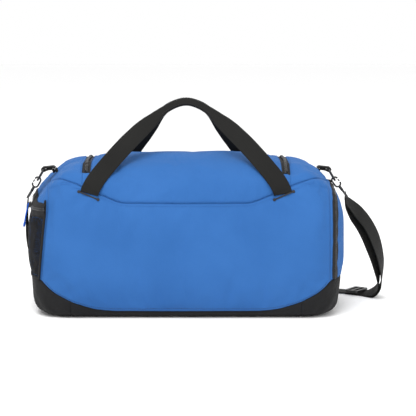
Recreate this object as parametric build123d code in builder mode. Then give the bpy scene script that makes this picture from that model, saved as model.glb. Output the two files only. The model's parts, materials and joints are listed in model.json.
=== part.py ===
from build123d import *
import math
import os

os.makedirs("parts", exist_ok=True)

# A soft sports duffel: a hollow fabric body with a U-shaped lid flap, two webbing carry handles,
# a mesh pocket on the left end, a zipped pocket on the right end and a clip-on shoulder strap.
# +X runs along the bag, the front faces -Y, +Z is up, and the origin is under the bag's middle.

# Driving dimensions of the body, in millimetres
HALF_LENGTH = 265.5        # furthest reach of the end panels
HALF_DEPTH = 116.0         # furthest reach of the front and back panels
CROWN_HEIGHT = 262.0       # top of the lid
WALL = 2.4                 # one fabric wall with its lining
CORNER_RADIUS = 55.0       # upright corners, seen from above
BELLY_HEIGHT = 98.0        # where the walls stand furthest out
SHOULDER_RADIUS = 34.0     # seen from the end, front and back walls into the crown
CORNER_SHOULDER = 88.0     # seen from the front, end walls into the crown
END_VIEW_WALL = ((104.0, 0.0), (HALF_DEPTH, BELLY_HEIGHT), (98.0, 233.7))
END_VIEW_CROWN = ((-75.0, 246.0), (0.0, CROWN_HEIGHT), (75.0, 246.0))
FRONT_VIEW_WALL = ((257.0, 0.0), (HALF_LENGTH, BELLY_HEIGHT), (252.0, 200.0))
FRONT_VIEW_CROWN = ((-158.0, 260.0), (0.0, 264.0), (158.0, 260.0))
END_FOOT_RADIUS = 16.0     # rounded lower edges, seen from the end and from the front
FRONT_FOOT_RADIUS = 20.0
END_SEAM_X = 232.0         # seam between the end panels and everything between them
REACH = 320.0              # longer than any part of the bag

# Seams of the fabric panels
YOKE_SEAM_Z = 193.0        # level middle stretch of the curved seam above the front panel
YOKE_SEAM_HALF = 110.0
YOKE_RISE_X = 172.0        # where the seam's slope eases
YOKE_RISE_Z = 222.0
YOKE_END_Z = 243.0
YOKE_BEYOND_Z = 273.0      # the seam line carried on past the bag's ends
BASE_BAND_Z = 12.0         # black strip along the bottom of the front and back
BASE_BAND_HALF = 122.0
BASE_ARC_X = 190.0         # middle of the arc that lifts the base's edge, and the seam of the wraps
BASE_ARC_Z = 31.0
BOOT_X = 240.0             # where that arc reaches the wraps' level top
BOOT_Z = 66.0              # top of the black wrap round each end
BOARD_LENGTH = 460.0
BOARD_DEPTH = 176.0
BOARD_THICK = 3.0
BOARD_CORNER = 30.0
TOP_REGION_Z = 190.0       # everything of the lid lies above this

# Main zipper: a U on the top of the bag, with its open side at the lid's fold
FOLD_Y = -88.0             # the lid swings about this fold
ZIP_OUTER_X = 171.0        # outside edge of the zipper tapes
ZIP_OUTER_Y = 88.0
TAPE_WIDTH = 6.8
TEETH_WIDTH = 2.2
TEETH_RISE = 1.1
SEAM_GAP = 0.4             # clearance between the lid's edge and the body's edge

# Webbing
WEB_WIDTH = 32.0
WEB_THICK = 2.4
STRAP_TUBE = 10.0          # round section with the same area as one layer of webbing
DOUBLE_TUBE = 13.0         # and as two layers

# Carry handles: each lies in a plane that leans in from its seam to meet the other one
HANDLE_ROOT_Y = 115.0
HANDLE_ROOT_Z = 206.0
HANDLE_LEAN = 32.8         # degrees in from upright
GRIP_HALF = 44.0           # half the length of the folded grip
GRIP_WIDTH = 16.0
GRIP_THICK = 7.0
GRIP_REGION_T = 144.5      # middle and height of the stretch where the webbing is folded
GRIP_REGION_HEIGHT = 120.0
HANDLE_TOP = 174.5
FRONT_HANDLE_RISE = [(157, 8.5), (130, 52), (91, 101), (57, 136.5), (26, 165)]
REAR_HANDLE_RISE = [(126, 8.5), (101, 52), (74, 98), (50, 137), (25, 165)]
TACK_HALF = 15.0           # half length of the stitched bar under each handle end
TACK_WIDTH = 2.6
TACK_TURN = 26.0           # its slope, in degrees
TACK_OUT = 2.0             # its middle from the handle's end
TACK_UP = 1.5

# End fittings: tab, D-ring and snap hook at the top of each end
RING_BAR = (241.0, 236.5)  # x and z of the ring's straight bar
RING_WIDTH = 30.0
RING_DROP = 20.0
RING_WIRE = 3.4
TAB_WIDTH = 20.0
TAB_START = (206.0, 252.4) # where the folded tab leaves the yoke, and where it bends
TAB_BEND = (226.0, 246.5)
TAB_THICK = 2.2
RING_CORNER = 4.5
NECK_RADIUS = 2.4
GATE_INSET = 1.9           # the gate's ends from the hook's bends
GATE_WIDTH = 2.2
GATE_THICK = 2.4
EYE_DEPTH = 11.0           # the eye's frame, along the strap
EYE_BORDER = 7.0           # the frame's extra width over its slot
EYE_GAP = 5.0
EYE_THICK = 3.6
FIT_GAP = 0.3              # clearance between the ring and what holds it
RING_PITCH = 60.0          # the ring's fall below level
LEFT_PITCH = 60.0          # the hooks' fall below level
RIGHT_PITCH = 53.0
HOOK_WIRE = 3.0
HOOK_RADIUS = 5.0
HOOK_SIDE = 8.0
HOOK_NECK = 9.0
EYE_SLOT = 34.0            # width of the hook's eye along Y

# Pocket zippers on the ends
MESH_TOP = 170.0
MESH_ZIP_TOP = 196.0
END_ZIP_INNER_X = 237.0
END_ZIP_OUTER_X = 246.0
END_ZIP_TOP = 222.0
END_ZIP_WIDTH = 9.0
POCKET_RISE = 2.0          # how far the mesh stands off the end panel
LINER_DEPTH = 6.0          # the end pocket's back wall, inside the skin
LINER_THICK = 1.5
LINER_LOW = 70.0
LINER_HIGH = 205.0


def write(builder, label):
    """Name a finished piece and write it."""
    builder.part.label = label
    export_step(builder.part, "parts/" + label + ".step")


# ---------------------------------------------------------------- body form

def circle_through(first, middle, last):
    """Centre and radius of the circle through three points."""
    (ax, ay), (bx, by), (cx, cy) = first, middle, last
    twice_area = 2 * (ax * (by - cy) + bx * (cy - ay) + cx * (ay - by))
    a, b, c = ax * ax + ay * ay, bx * bx + by * by, cx * cx + cy * cy
    x = (a * (by - cy) + b * (cy - ay) + c * (ay - by)) / twice_area
    y = (a * (cx - bx) + b * (ax - cx) + c * (bx - ax)) / twice_area
    return (x, y), math.hypot(ax - x, ay - y)


def outline(plane, inset, wall, crown, foot_radius, shoulder_radius):
    """A closed outline with a flat base, two bellied walls and a crowned top, all made of arcs."""
    wall_centre, wall_radius = circle_through(*wall)
    crown_centre, crown_radius = circle_through(*crown)
    with BuildSketch(plane) as shape:
        with Locations((0, REACH + inset)):
            Rectangle(2 * REACH, 2 * REACH)
        for turn in (1, -1):
            with Locations((turn * wall_centre[0], wall_centre[1])):
                Circle(wall_radius - inset, mode=Mode.INTERSECT)
        with Locations(crown_centre):
            Circle(crown_radius - inset, mode=Mode.INTERSECT)
        fillet(shape.vertices().group_by(Axis.Y)[0], foot_radius - inset)
        fillet(shape.vertices().group_by(Axis.Y)[-1], shoulder_radius - inset)
    return shape.sketch


def bag_form(inset):
    """The bag's whole rounded form, moved in from its outer skin by the inset."""
    end_view = outline(
        Plane.YZ.offset(-REACH), inset, END_VIEW_WALL, END_VIEW_CROWN, END_FOOT_RADIUS, SHOULDER_RADIUS
    )
    front_view = outline(
        Plane.XZ.offset(-REACH), inset, FRONT_VIEW_WALL, FRONT_VIEW_CROWN, FRONT_FOOT_RADIUS, CORNER_SHOULDER
    )
    with BuildPart() as form:
        extrude(end_view, amount=2 * REACH)
        extrude(front_view, amount=2 * REACH, mode=Mode.INTERSECT)
        # rounded upright corners, seen from above
        with BuildSketch(Plane.XY.offset(-REACH)):
            RectangleRounded(
                2 * (HALF_LENGTH + 0.5 - inset), 2 * (HALF_DEPTH + 0.5 - inset), CORNER_RADIUS - inset
            )
        extrude(amount=2 * REACH, mode=Mode.INTERSECT)
    return form.part


OUTER = bag_form(0)
INNER = bag_form(WALL)
RAISED = bag_form(-TEETH_RISE)
POCKET_SKIN = bag_form(-POCKET_RISE)
LINER_FACE = bag_form(LINER_DEPTH)
LINER_BACK = bag_form(LINER_DEPTH + LINER_THICK)


def seam_outline(low, x_limit):
    """The region above or below the curved yoke seam, between two ends at x_limit."""
    edge = -REACH if low else REACH
    with BuildSketch(Plane.XZ.offset(-REACH)) as region:
        with BuildLine():
            seam = Polyline(
                (-REACH, YOKE_BEYOND_Z),
                (-END_SEAM_X, YOKE_END_Z),
                (-YOKE_RISE_X, YOKE_RISE_Z),
                (-YOKE_SEAM_HALF, YOKE_SEAM_Z),
                (YOKE_SEAM_HALF, YOKE_SEAM_Z),
                (YOKE_RISE_X, YOKE_RISE_Z),
                (END_SEAM_X, YOKE_END_Z),
                (REACH, YOKE_BEYOND_Z),
            )
            Polyline(seam @ 1, (REACH, edge), (-REACH, edge), seam @ 0)
        make_face()
        Rectangle(2 * x_limit, 4 * REACH, mode=Mode.INTERSECT)
    return region.sketch


def band_outline(above):
    """The region above or below the top edge of the black base, which rises towards both ends."""
    edge = 2 * REACH if above else -REACH
    with BuildSketch(Plane.XZ.offset(-REACH)) as region:
        with BuildLine():
            ThreePointArc((-BOOT_X, BOOT_Z), (-BASE_ARC_X, BASE_ARC_Z), (-BASE_BAND_HALF, BASE_BAND_Z))
            Line((-BASE_BAND_HALF, BASE_BAND_Z), (BASE_BAND_HALF, BASE_BAND_Z))
            ThreePointArc((BASE_BAND_HALF, BASE_BAND_Z), (BASE_ARC_X, BASE_ARC_Z), (BOOT_X, BOOT_Z))
            Polyline(
                (BOOT_X, BOOT_Z),
                (REACH, BOOT_Z),
                (REACH, edge),
                (-REACH, edge),
                (-REACH, BOOT_Z),
                (-BOOT_X, BOOT_Z),
            )
        make_face()
    return region.sketch


def keep_box(x_low, x_high, y_low, y_high, z_low, z_high):
    """Keep only what lies inside the box."""
    with Locations(((x_low + x_high) / 2, (y_low + y_high) / 2, (z_low + z_high) / 2)):
        Box(x_high - x_low, y_high - y_low, z_high - z_low, mode=Mode.INTERSECT)


def fill_box(x_low, x_high, y_low, y_high, z_low, z_high):
    """A plain box given by its sides."""
    with Locations(((x_low + x_high) / 2, (y_low + y_high) / 2, (z_low + z_high) / 2)):
        Box(x_high - x_low, y_high - y_low, z_high - z_low)


def cut_box(x_low, x_high, y_low, y_high, z_low, z_high):
    """Take away what lies inside the box."""
    with Locations(((x_low + x_high) / 2, (y_low + y_high) / 2, (z_low + z_high) / 2)):
        Box(x_high - x_low, y_high - y_low, z_high - z_low, mode=Mode.SUBTRACT)


# ---------------------------------------------------------------- black base

with BuildPart() as base_panel:
    add(OUTER)
    add(INNER, mode=Mode.SUBTRACT)
    extrude(band_outline(above=False), amount=2 * REACH, mode=Mode.INTERSECT)
    keep_box(-BASE_ARC_X, BASE_ARC_X, -REACH, REACH, -1, BOOT_Z)
write(base_panel, "base_panel")

for side, name in ((-1, "left"), (1, "right")):
    with BuildPart() as boot:
        add(OUTER)
        add(INNER, mode=Mode.SUBTRACT)
        extrude(band_outline(above=False), amount=2 * REACH, mode=Mode.INTERSECT)
        low_x, high_x = sorted((side * BASE_ARC_X, side * REACH))
        keep_box(low_x, high_x, -REACH, REACH, -1, BOOT_Z)
    write(boot, name + "_boot")

# a stiff board that lies loose on the inside of the base
with BuildPart() as base_board:
    with BuildSketch(Plane.XY.offset(WALL)):
        RectangleRounded(BOARD_LENGTH, BOARD_DEPTH, BOARD_CORNER)
    extrude(amount=BOARD_THICK)
write(base_board, "base_board")

# ---------------------------------------------------------------- blue panels

for side, name in ((-1, "front"), (1, "back")):
    with BuildPart() as panel:
        add(OUTER)
        add(INNER, mode=Mode.SUBTRACT)
        extrude(band_outline(above=True), amount=2 * REACH, mode=Mode.INTERSECT)
        extrude(seam_outline(low=True, x_limit=END_SEAM_X), amount=2 * REACH, mode=Mode.INTERSECT)
        keep_box(-END_SEAM_X, END_SEAM_X, min(0, side * REACH), max(0, side * REACH), 0, REACH)
    write(panel, name + "_panel")

with BuildPart() as front_yoke:
    add(OUTER)
    add(INNER, mode=Mode.SUBTRACT)
    extrude(seam_outline(low=False, x_limit=ZIP_OUTER_X), amount=2 * REACH, mode=Mode.INTERSECT)
    keep_box(-REACH, REACH, -REACH, FOLD_Y - SEAM_GAP, 0, REACH)
write(front_yoke, "front_yoke")

with BuildPart() as rear_yoke:
    add(OUTER)
    add(INNER, mode=Mode.SUBTRACT)
    extrude(seam_outline(low=False, x_limit=ZIP_OUTER_X), amount=2 * REACH, mode=Mode.INTERSECT)
    keep_box(-REACH, REACH, ZIP_OUTER_Y, REACH, 0, REACH)
write(rear_yoke, "rear_yoke")

for side, name in ((-1, "left"), (1, "right")):
    with BuildPart() as shoulder:
        low_x, high_x = sorted((side * ZIP_OUTER_X, side * END_SEAM_X))
        fill_box(low_x, high_x, -REACH, REACH, 0, REACH)
        extrude(seam_outline(low=False, x_limit=END_SEAM_X), amount=2 * REACH, mode=Mode.INTERSECT)
        add(OUTER, mode=Mode.INTERSECT)
        add(INNER, mode=Mode.SUBTRACT)
    write(shoulder, name + "_yoke")

    with BuildPart() as end_panel:
        add(OUTER)
        add(INNER, mode=Mode.SUBTRACT)
        low_x, high_x = sorted((side * END_SEAM_X, side * REACH))
        keep_box(low_x, high_x, -REACH, REACH, BOOT_Z, REACH)
    write(end_panel, name + "_end_panel")

# ---------------------------------------------------------------- lid and main zipper

LID_X = ZIP_OUTER_X - 2 * TAPE_WIDTH - SEAM_GAP
LID_Y = ZIP_OUTER_Y - 2 * TAPE_WIDTH - SEAM_GAP
LID_TAPE_X = LID_X + TAPE_WIDTH
LID_TAPE_Y = LID_Y + TAPE_WIDTH
BODY_TAPE_X = ZIP_OUTER_X - TAPE_WIDTH
BODY_TAPE_Y = ZIP_OUTER_Y - TAPE_WIDTH

with BuildPart() as lid_panel:
    fill_box(-LID_X, LID_X, FOLD_Y + SEAM_GAP, LID_Y, TOP_REGION_Z, REACH)
    add(OUTER, mode=Mode.INTERSECT)
    add(INNER, mode=Mode.SUBTRACT)
write(lid_panel, "lid_panel")


def zipper_strip(skin, core, outer_x, outer_y, width, label):
    """A U-shaped strip of the top, lying between two forms and open at the lid's fold."""
    with BuildPart() as strip:
        fill_box(-outer_x, outer_x, FOLD_Y + SEAM_GAP, outer_y, TOP_REGION_Z, REACH)
        cut_box(-outer_x + width, outer_x - width, -REACH, outer_y - width, 0, REACH)
        add(skin, mode=Mode.INTERSECT)
        add(core, mode=Mode.SUBTRACT)
    write(strip, label)


zipper_strip(OUTER, INNER, LID_TAPE_X, LID_TAPE_Y, TAPE_WIDTH, "lid_zipper_tape")
zipper_strip(OUTER, INNER, ZIP_OUTER_X, ZIP_OUTER_Y, TAPE_WIDTH, "body_zipper_tape")
zipper_strip(RAISED, OUTER, LID_TAPE_X, LID_TAPE_Y, TEETH_WIDTH, "lid_zipper_teeth")
zipper_strip(
    RAISED, OUTER, BODY_TAPE_X + TEETH_WIDTH, BODY_TAPE_Y + TEETH_WIDTH, TEETH_WIDTH, "body_zipper_teeth"
)

# ---------------------------------------------------------------- end pockets

with BuildPart() as mesh_pocket:
    add(POCKET_SKIN)
    add(OUTER, mode=Mode.SUBTRACT)
    keep_box(-REACH, -END_SEAM_X, -REACH, REACH, BOOT_Z, MESH_TOP)
write(mesh_pocket, "mesh_pocket")

with BuildPart() as mesh_zipper_tape:
    add(POCKET_SKIN)
    add(OUTER, mode=Mode.SUBTRACT)
    keep_box(-REACH, -END_SEAM_X, -REACH, REACH, MESH_TOP, MESH_ZIP_TOP)
write(mesh_zipper_tape, "mesh_zipper_tape")

with BuildPart() as end_zipper_tape:
    fill_box(END_ZIP_INNER_X, REACH, -REACH, REACH, BOOT_Z, END_ZIP_TOP)
    cut_box(END_ZIP_OUTER_X, REACH, -REACH, REACH, 0, END_ZIP_TOP - END_ZIP_WIDTH)
    add(RAISED, mode=Mode.INTERSECT)
    add(OUTER, mode=Mode.SUBTRACT)
write(end_zipper_tape, "end_zipper_tape")

# the end pocket's back wall hangs just inside the right end panel
with BuildPart() as end_pocket_liner:
    add(LINER_FACE)
    add(LINER_BACK, mode=Mode.SUBTRACT)
    keep_box(END_SEAM_X, REACH, -REACH, REACH, LINER_LOW, LINER_HIGH)
write(end_pocket_liner, "end_pocket_liner")

# ---------------------------------------------------------------- carry handles


def handle_line(rise):
    """The handle's centre line as points across its plane, from the right end to the left."""
    left = [(-x, t) for x, t in reversed(rise)]
    return rise + [(0, HANDLE_TOP)] + left


def handle_plane(side):
    """The leaning plane of a handle; local Y climbs from the seam to the grip."""
    lean = math.radians(HANDLE_LEAN)
    up = Vector(0, -side * math.sin(lean), math.cos(lean))
    normal = Vector(1, 0, 0).cross(up)
    return Plane(origin=(0, side * HANDLE_ROOT_Y, HANDLE_ROOT_Z), x_dir=(1, 0, 0), z_dir=normal)


for side, name, rise in ((-1, "front", FRONT_HANDLE_RISE), (1, "rear", REAR_HANDLE_RISE)):
    plane = handle_plane(side)
    with BuildPart() as handle:
        with BuildSketch(plane.offset(-WEB_THICK / 2)):
            with BuildLine():
                Spline(*handle_line(rise))
            trace(line_width=WEB_WIDTH)
            with Locations((0, GRIP_REGION_T)):
                Rectangle(2 * GRIP_HALF, GRIP_REGION_HEIGHT, mode=Mode.SUBTRACT)
        extrude(amount=WEB_THICK)
        with BuildSketch(plane.offset(-GRIP_THICK / 2)):
            with BuildLine():
                Spline(*handle_line(rise))
            trace(line_width=GRIP_WIDTH)
            with Locations((0, GRIP_REGION_T)):
                Rectangle(2 * GRIP_HALF + 1, GRIP_REGION_HEIGHT, mode=Mode.INTERSECT)
        extrude(amount=GRIP_THICK)
    write(handle, name + "_handle")

    # a stitched bar through the panel under each handle end
    root_x = rise[0][0]
    with BuildPart() as tacks:
        add(RAISED)
        add(OUTER, mode=Mode.SUBTRACT)
        with BuildSketch(Plane.XZ.offset(-REACH)):
            for end in (-1, 1):
                middle = (end * (root_x + TACK_OUT), HANDLE_ROOT_Z + TACK_UP)
                with Locations(Location(middle, end * TACK_TURN)):
                    SlotOverall(2 * TACK_HALF, TACK_WIDTH)
        extrude(amount=2 * REACH, mode=Mode.INTERSECT)
        keep_box(-REACH, REACH, min(0, side * REACH), max(0, side * REACH), 0, REACH)
    write(tacks, name + "_handle_tacks")

# ---------------------------------------------------------------- tabs, D-rings and snap hooks


def end_frame(side, pitch, x, z):
    """Plane facing -Y whose local X points outwards and down along a fitting on one end."""
    angle = math.radians(pitch)
    along = Vector(side * math.cos(angle), 0, -math.sin(angle))
    return Plane(origin=(x, 0, z), x_dir=along, z_dir=(0, -1, 0))


for side, name, pitch in ((-1, "left", LEFT_PITCH), (1, "right", RIGHT_PITCH)):
    bar_x = side * RING_BAR[0]
    bar_z = RING_BAR[1]
    ring_angle = math.radians(RING_PITCH)
    down = Vector(side * math.cos(ring_angle), 0, -math.sin(ring_angle))
    ring_plane = Plane(origin=(bar_x, 0, bar_z), x_dir=(0, 1, 0), z_dir=Vector(0, 1, 0).cross(down))

    # folded webbing tab that holds the ring's bar
    with BuildPart() as tab:
        with BuildSketch(Plane.XZ.offset(-TAB_WIDTH / 2)):
            with Locations((bar_x, bar_z)):
                Circle(RING_WIRE / 2 + TAB_THICK - 0.2)
            with BuildLine():
                Polyline(
                    (side * TAB_START[0], TAB_START[1]),
                    (side * TAB_BEND[0], TAB_BEND[1]),
                    (side * (RING_BAR[0] - 1), bar_z + 2.6),
                )
            trace(line_width=TAB_THICK)
            with Locations((bar_x, bar_z)):
                Circle(RING_WIRE / 2 + FIT_GAP, mode=Mode.SUBTRACT)
        extrude(amount=TAB_WIDTH)
    write(tab, name + "_ring_tab")

    # D-ring: a straight bar and a bow
    half = RING_WIDTH / 2
    with BuildPart() as ring:
        with BuildLine(ring_plane):
            bow = FilletPolyline(
                (-half, 0), (half, 0), (half, RING_DROP), (-half, RING_DROP), radius=RING_CORNER, close=True
            )
        with BuildSketch(Plane(origin=bow @ 0, z_dir=bow % 0)):
            Circle(RING_WIRE / 2)
        sweep(path=bow)
    write(ring, name + "_d_ring")

    # the hook hangs from the bottom of the ring
    low = Vector(bar_x, 0, bar_z) + down * RING_DROP
    plane = end_frame(side, pitch, low.X, low.Z)
    start = -(RING_WIRE / 2 + HOOK_WIRE / 2 + FIT_GAP)
    r = HOOK_RADIUS
    h = HOOK_SIDE / 2
    centre = start + r + h
    mouth = side
    with BuildPart() as hook:
        with BuildLine(plane):
            top_arc = ThreePointArc((centre - h, mouth * r), (centre - h - r, 0), (centre - h, -mouth * r))
            back = Line(top_arc @ 1, (centre + h, -mouth * r))
            ThreePointArc(back @ 1, (centre + h + r, 0), (centre + h, mouth * r))
        with BuildSketch(Plane(origin=top_arc @ 0, z_dir=top_arc % 0)):
            Circle(HOOK_WIRE / 2)
        sweep()
        # neck that turns in the eye
        neck_start = plane.from_local_coords((centre + h + r - 0.5, 0, 0))
        with BuildSketch(Plane(origin=neck_start, z_dir=plane.x_dir)):
            Circle(NECK_RADIUS)
        extrude(amount=HOOK_NECK)
    write(hook, name + "_hook")

    # spring gate that closes the hook's mouth
    with BuildPart() as gate:
        with BuildSketch(plane.offset(-GATE_THICK / 2)):
            with BuildLine():
                Line((centre - h + GATE_INSET, mouth * r), (centre + h - GATE_INSET, mouth * r))
            trace(line_width=GATE_WIDTH)
        extrude(amount=GATE_THICK)
    write(gate, name + "_hook_gate")
    pivot = plane.from_local_coords((centre + h - GATE_INSET, mouth * r, 0))
    print(name, "gate pivot", [round(c, 2) for c in tuple(pivot)])

    # eye: a flat frame that carries the strap's webbing
    eye_at = centre + h + r + HOOK_NECK
    eye_origin = plane.from_local_coords((eye_at, 0, 0))
    eye_plane = Plane(origin=eye_origin, x_dir=(0, 1, 0), z_dir=Vector(0, 1, 0).cross(plane.x_dir))
    with BuildPart() as eye:
        with BuildSketch(eye_plane.offset(-EYE_THICK / 2)):
            with Locations((0, EYE_DEPTH / 2)):
                RectangleRounded(EYE_SLOT + EYE_BORDER, EYE_DEPTH, 3)
                RectangleRounded(EYE_SLOT, EYE_GAP, 2, mode=Mode.SUBTRACT)
        extrude(amount=EYE_THICK)
    write(eye, name + "_hook_eye")
    slot_centre = eye_plane.from_local_coords((0, EYE_DEPTH / 2, 0))
    print(name, "eye slot centre", [round(c, 1) for c in tuple(slot_centre)])

# ---------------------------------------------------------------- sliders and pulls


def slider_on(plane, label):
    """A zipper slider with an arch for its pull; local Y is the way the pull lies at rest."""
    with BuildPart() as slider:
        with BuildSketch(plane):
            RectangleRounded(SLIDER_WIDTH, SLIDER_LENGTH, 2.6)
        extrude(amount=SLIDER_HEIGHT)
        with BuildSketch(plane.offset(SLIDER_HEIGHT)):
            with GridLocations(0, 5.6, 1, 2):
                Rectangle(2.4, 1.4)
        extrude(amount=2.2)
        with BuildSketch(plane.offset(SLIDER_HEIGHT + 2.2)):
            RectangleRounded(2.4, 7.0, 1.1)
        extrude(amount=1.2)
    write(slider, label)


def pull_on(plane, label, reach):
    """A pull whose slot rings the slider's arch; local Y runs from the arch to the free end."""
    with BuildPart() as pull:
        with BuildSketch(plane.offset(PIVOT_HEIGHT - PULL_THICK / 2)):
            with Locations((0, reach / 2 - PULL_THICK / 2)):
                SlotOverall(reach, PULL_WIDTH, rotation=90)
            with Locations((0, 3.6)):
                Rectangle(3.4, 5.6, mode=Mode.SUBTRACT)
        extrude(amount=PULL_THICK)
    write(pull, label)


SLIDER_LENGTH = 10.0
SLIDER_WIDTH = 9.0
SLIDER_HEIGHT = 3.2
PULL_WIDTH = 5.8
PULL_THICK = 1.6
PIVOT_HEIGHT = 4.3         # the pull's axis above the slider's foot
CORD_PULL = 30.0
MESH_CORD_PULL = 40.0

# main zipper: two sliders that meet at the middle of its rear run
MAIN_SLIDER_X = 8.0
MAIN_SLIDER_Y = LID_TAPE_Y + SEAM_GAP / 2
MAIN_SLIDER_Z = 245.6
MAIN_SLOPE = 27.0          # the top's fall towards the back, in degrees

tilt = math.radians(MAIN_SLOPE)
main_out = (0, math.sin(tilt), math.cos(tilt))
for side, name in ((-1, "left"), (1, "right")):
    seat = Plane(origin=(side * MAIN_SLIDER_X, MAIN_SLIDER_Y, MAIN_SLIDER_Z), x_dir=(1, 0, 0), z_dir=main_out)
    slider_on(seat, name + "_main_slider")
    pull_on(seat, name + "_main_pull", CORD_PULL)
    print(name, "main pull axis", [round(c, 2) for c in tuple(seat.from_local_coords((0, 0, PIVOT_HEIGHT)))])

# mesh pocket's zipper: slider on the left end, with a cord pull that hangs straight down
MESH_SLIDER_SEAT = (-258.5, -52.0, 183.0)
MESH_SLOPE = 12.0          # the end's lean at the zipper, in degrees

mesh_tilt = math.radians(MESH_SLOPE)
mesh_seat = Plane(
    origin=MESH_SLIDER_SEAT, x_dir=(0, 1, 0), z_dir=(-math.cos(mesh_tilt), 0, math.sin(mesh_tilt))
)
slider_on(mesh_seat, "mesh_slider")
pull_on(mesh_seat, "mesh_pull", MESH_CORD_PULL)
print("mesh pull axis", [round(c, 2) for c in tuple(mesh_seat.from_local_coords((0, 0, PIVOT_HEIGHT)))])

# end pocket's zipper: slider low on its rear leg, with its pull hanging
END_SLIDER_Z = 84.0
END_TURN = 56.4            # the slider's bearing round the rear corner, in degrees
end_turn = math.radians(END_TURN)
end_out = Vector(math.cos(end_turn), math.sin(end_turn), 0)
corner_centre = Vector(HALF_LENGTH + 0.5 - CORNER_RADIUS, HALF_DEPTH + 0.5 - CORNER_RADIUS, END_SLIDER_Z)
end_foot = corner_centre + end_out * (CORNER_RADIUS + TEETH_RISE + 0.6)
end_seat = Plane(origin=end_foot, x_dir=end_out.cross(Vector(0, 0, 1)), z_dir=end_out)
slider_on(end_seat, "end_slider")
pull_on(end_seat, "end_pull", CORD_PULL)
print("end pull axis", [round(c, 2) for c in tuple(end_seat.from_local_coords((0, 0, PIVOT_HEIGHT)))])

# ---------------------------------------------------------------- shoulder strap

# The strap's centre line, from the right hook's eye to the left one, in millimetres
STRAP_DOUBLED = [
    (272, 3, 183),
    (294, 8, 163),
    (317, 17, 133),
    (334, 30, 92),
    (343, 47, 48),
    (340, 74, 15),
    (318, 101, 7),
]
STRAP_SINGLE = [
    (290, 121, 7),
    (250, 137, 7),
    (200, 147, 7),
    (140, 149, 7),
    (80, 143, 7),
    (20, 142, 7),
    (-40, 148, 7),
    (-100, 151, 7),
    (-150, 147, 7),
    (-197, 143, 15),
    (-233, 131, 38),
    (-262, 110, 66),
    (-275, 78, 95),
    (-275.5, 45, 124),
    (-273, 19, 153),
    (-269.5, 3, 181),
]


def strap_route(points):
    """The route with an arc at each corner, as large as its shorter run allows."""
    radii = []
    for before, here, after in zip(points, points[1:], points[2:]):
        incoming = Vector(*here) - Vector(*before)
        outgoing = Vector(*after) - Vector(*here)
        half_turn = math.radians(incoming.get_angle(outgoing)) / 2
        radii.append(0.45 * min(incoming.length, outgoing.length) / math.tan(half_turn))
    print("radii", [round(r) for r in radii])
    return FilletPolyline(*points, radius=radii)


for label, points, tube in (
    ("strap_doubled", STRAP_DOUBLED, DOUBLE_TUBE),
    ("shoulder_strap", STRAP_SINGLE, STRAP_TUBE),
):
    with BuildPart() as strap:
        with BuildLine():
            line = strap_route(points)
        with BuildSketch(Plane(origin=line @ 0, z_dir=line % 0)):
            Circle(tube / 2)
        sweep(path=line)
    volume = math.pi * tube ** 2 / 4 * line.length
    print(label, "length", round(line.length), "volume ratio", round(strap.part.volume / volume, 4))
    write(strap, label)

# tri-glide that joins the doubled part to the single part
GLIDE_AT = (304, 111, 7)
GLIDE_LENGTH = 26.0
GLIDE_WIDTH = 40.0
GLIDE_THICK = 4.0
glide_along = (Vector(*STRAP_SINGLE[0]) - Vector(*STRAP_DOUBLED[-1])).normalized()
glide_plane = Plane(origin=GLIDE_AT, x_dir=glide_along, z_dir=(0, 0, 1))
with BuildPart() as tri_glide:
    with BuildSketch(glide_plane.offset(-GLIDE_THICK / 2)):
        RectangleRounded(GLIDE_LENGTH, GLIDE_WIDTH, 4)
        with GridLocations(11, 0, 2, 1):
            RectangleRounded(6.5, WEB_WIDTH + 1, 2, mode=Mode.SUBTRACT)
    extrude(amount=GLIDE_THICK)
write(tri_glide, "tri_glide")
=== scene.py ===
import json
import math

import bmesh
import bpy
import numpy as np
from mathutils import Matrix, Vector
from mathutils.bvhtree import BVHTree


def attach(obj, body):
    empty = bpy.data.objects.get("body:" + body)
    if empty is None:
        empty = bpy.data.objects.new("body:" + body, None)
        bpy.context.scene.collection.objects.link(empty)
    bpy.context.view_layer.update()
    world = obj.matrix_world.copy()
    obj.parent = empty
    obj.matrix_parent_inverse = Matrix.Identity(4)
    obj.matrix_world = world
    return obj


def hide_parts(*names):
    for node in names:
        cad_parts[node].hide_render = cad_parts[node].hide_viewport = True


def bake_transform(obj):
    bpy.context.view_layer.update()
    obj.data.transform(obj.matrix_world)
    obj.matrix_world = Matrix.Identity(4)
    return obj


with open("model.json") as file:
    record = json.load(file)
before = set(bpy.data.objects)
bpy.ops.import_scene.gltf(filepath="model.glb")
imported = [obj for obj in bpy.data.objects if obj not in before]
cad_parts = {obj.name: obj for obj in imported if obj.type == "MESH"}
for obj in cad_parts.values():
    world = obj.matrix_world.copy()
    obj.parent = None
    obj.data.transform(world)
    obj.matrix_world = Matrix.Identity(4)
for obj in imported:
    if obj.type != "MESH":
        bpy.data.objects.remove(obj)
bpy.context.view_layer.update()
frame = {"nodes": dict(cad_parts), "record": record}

# Shapes are worked out in millimetres and written in metres.
MM = 0.001
FLOOR_GAP = 0.2
rng = np.random.default_rng(11)
scene = bpy.context.scene
scene.view_settings.view_transform = "Standard"

# ---- camera, floor and lights

camera_data = bpy.data.cameras.new("camera")
camera_data.lens = 132.35
camera_data.sensor_width = 36.0
camera_data.shift_x = 0.0524
camera = bpy.data.objects.new("camera", camera_data)
scene.collection.objects.link(camera)
camera.location = (0.0, -2.5747, 0.5318)
camera.rotation_euler = (Vector((0, 0, 0.170)) - camera.location).to_track_quat("-Z", "Y").to_euler()
scene.camera = camera


def link(obj):
    scene.collection.objects.link(obj)
    return obj


def finish_piece(obj, body_name, slot, *nodes):
    """Puts a piece on its body, in place of the CAD nodes it stands for. The slot is not used."""
    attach(obj, body_name)
    if nodes:
        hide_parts(*nodes)


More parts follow.
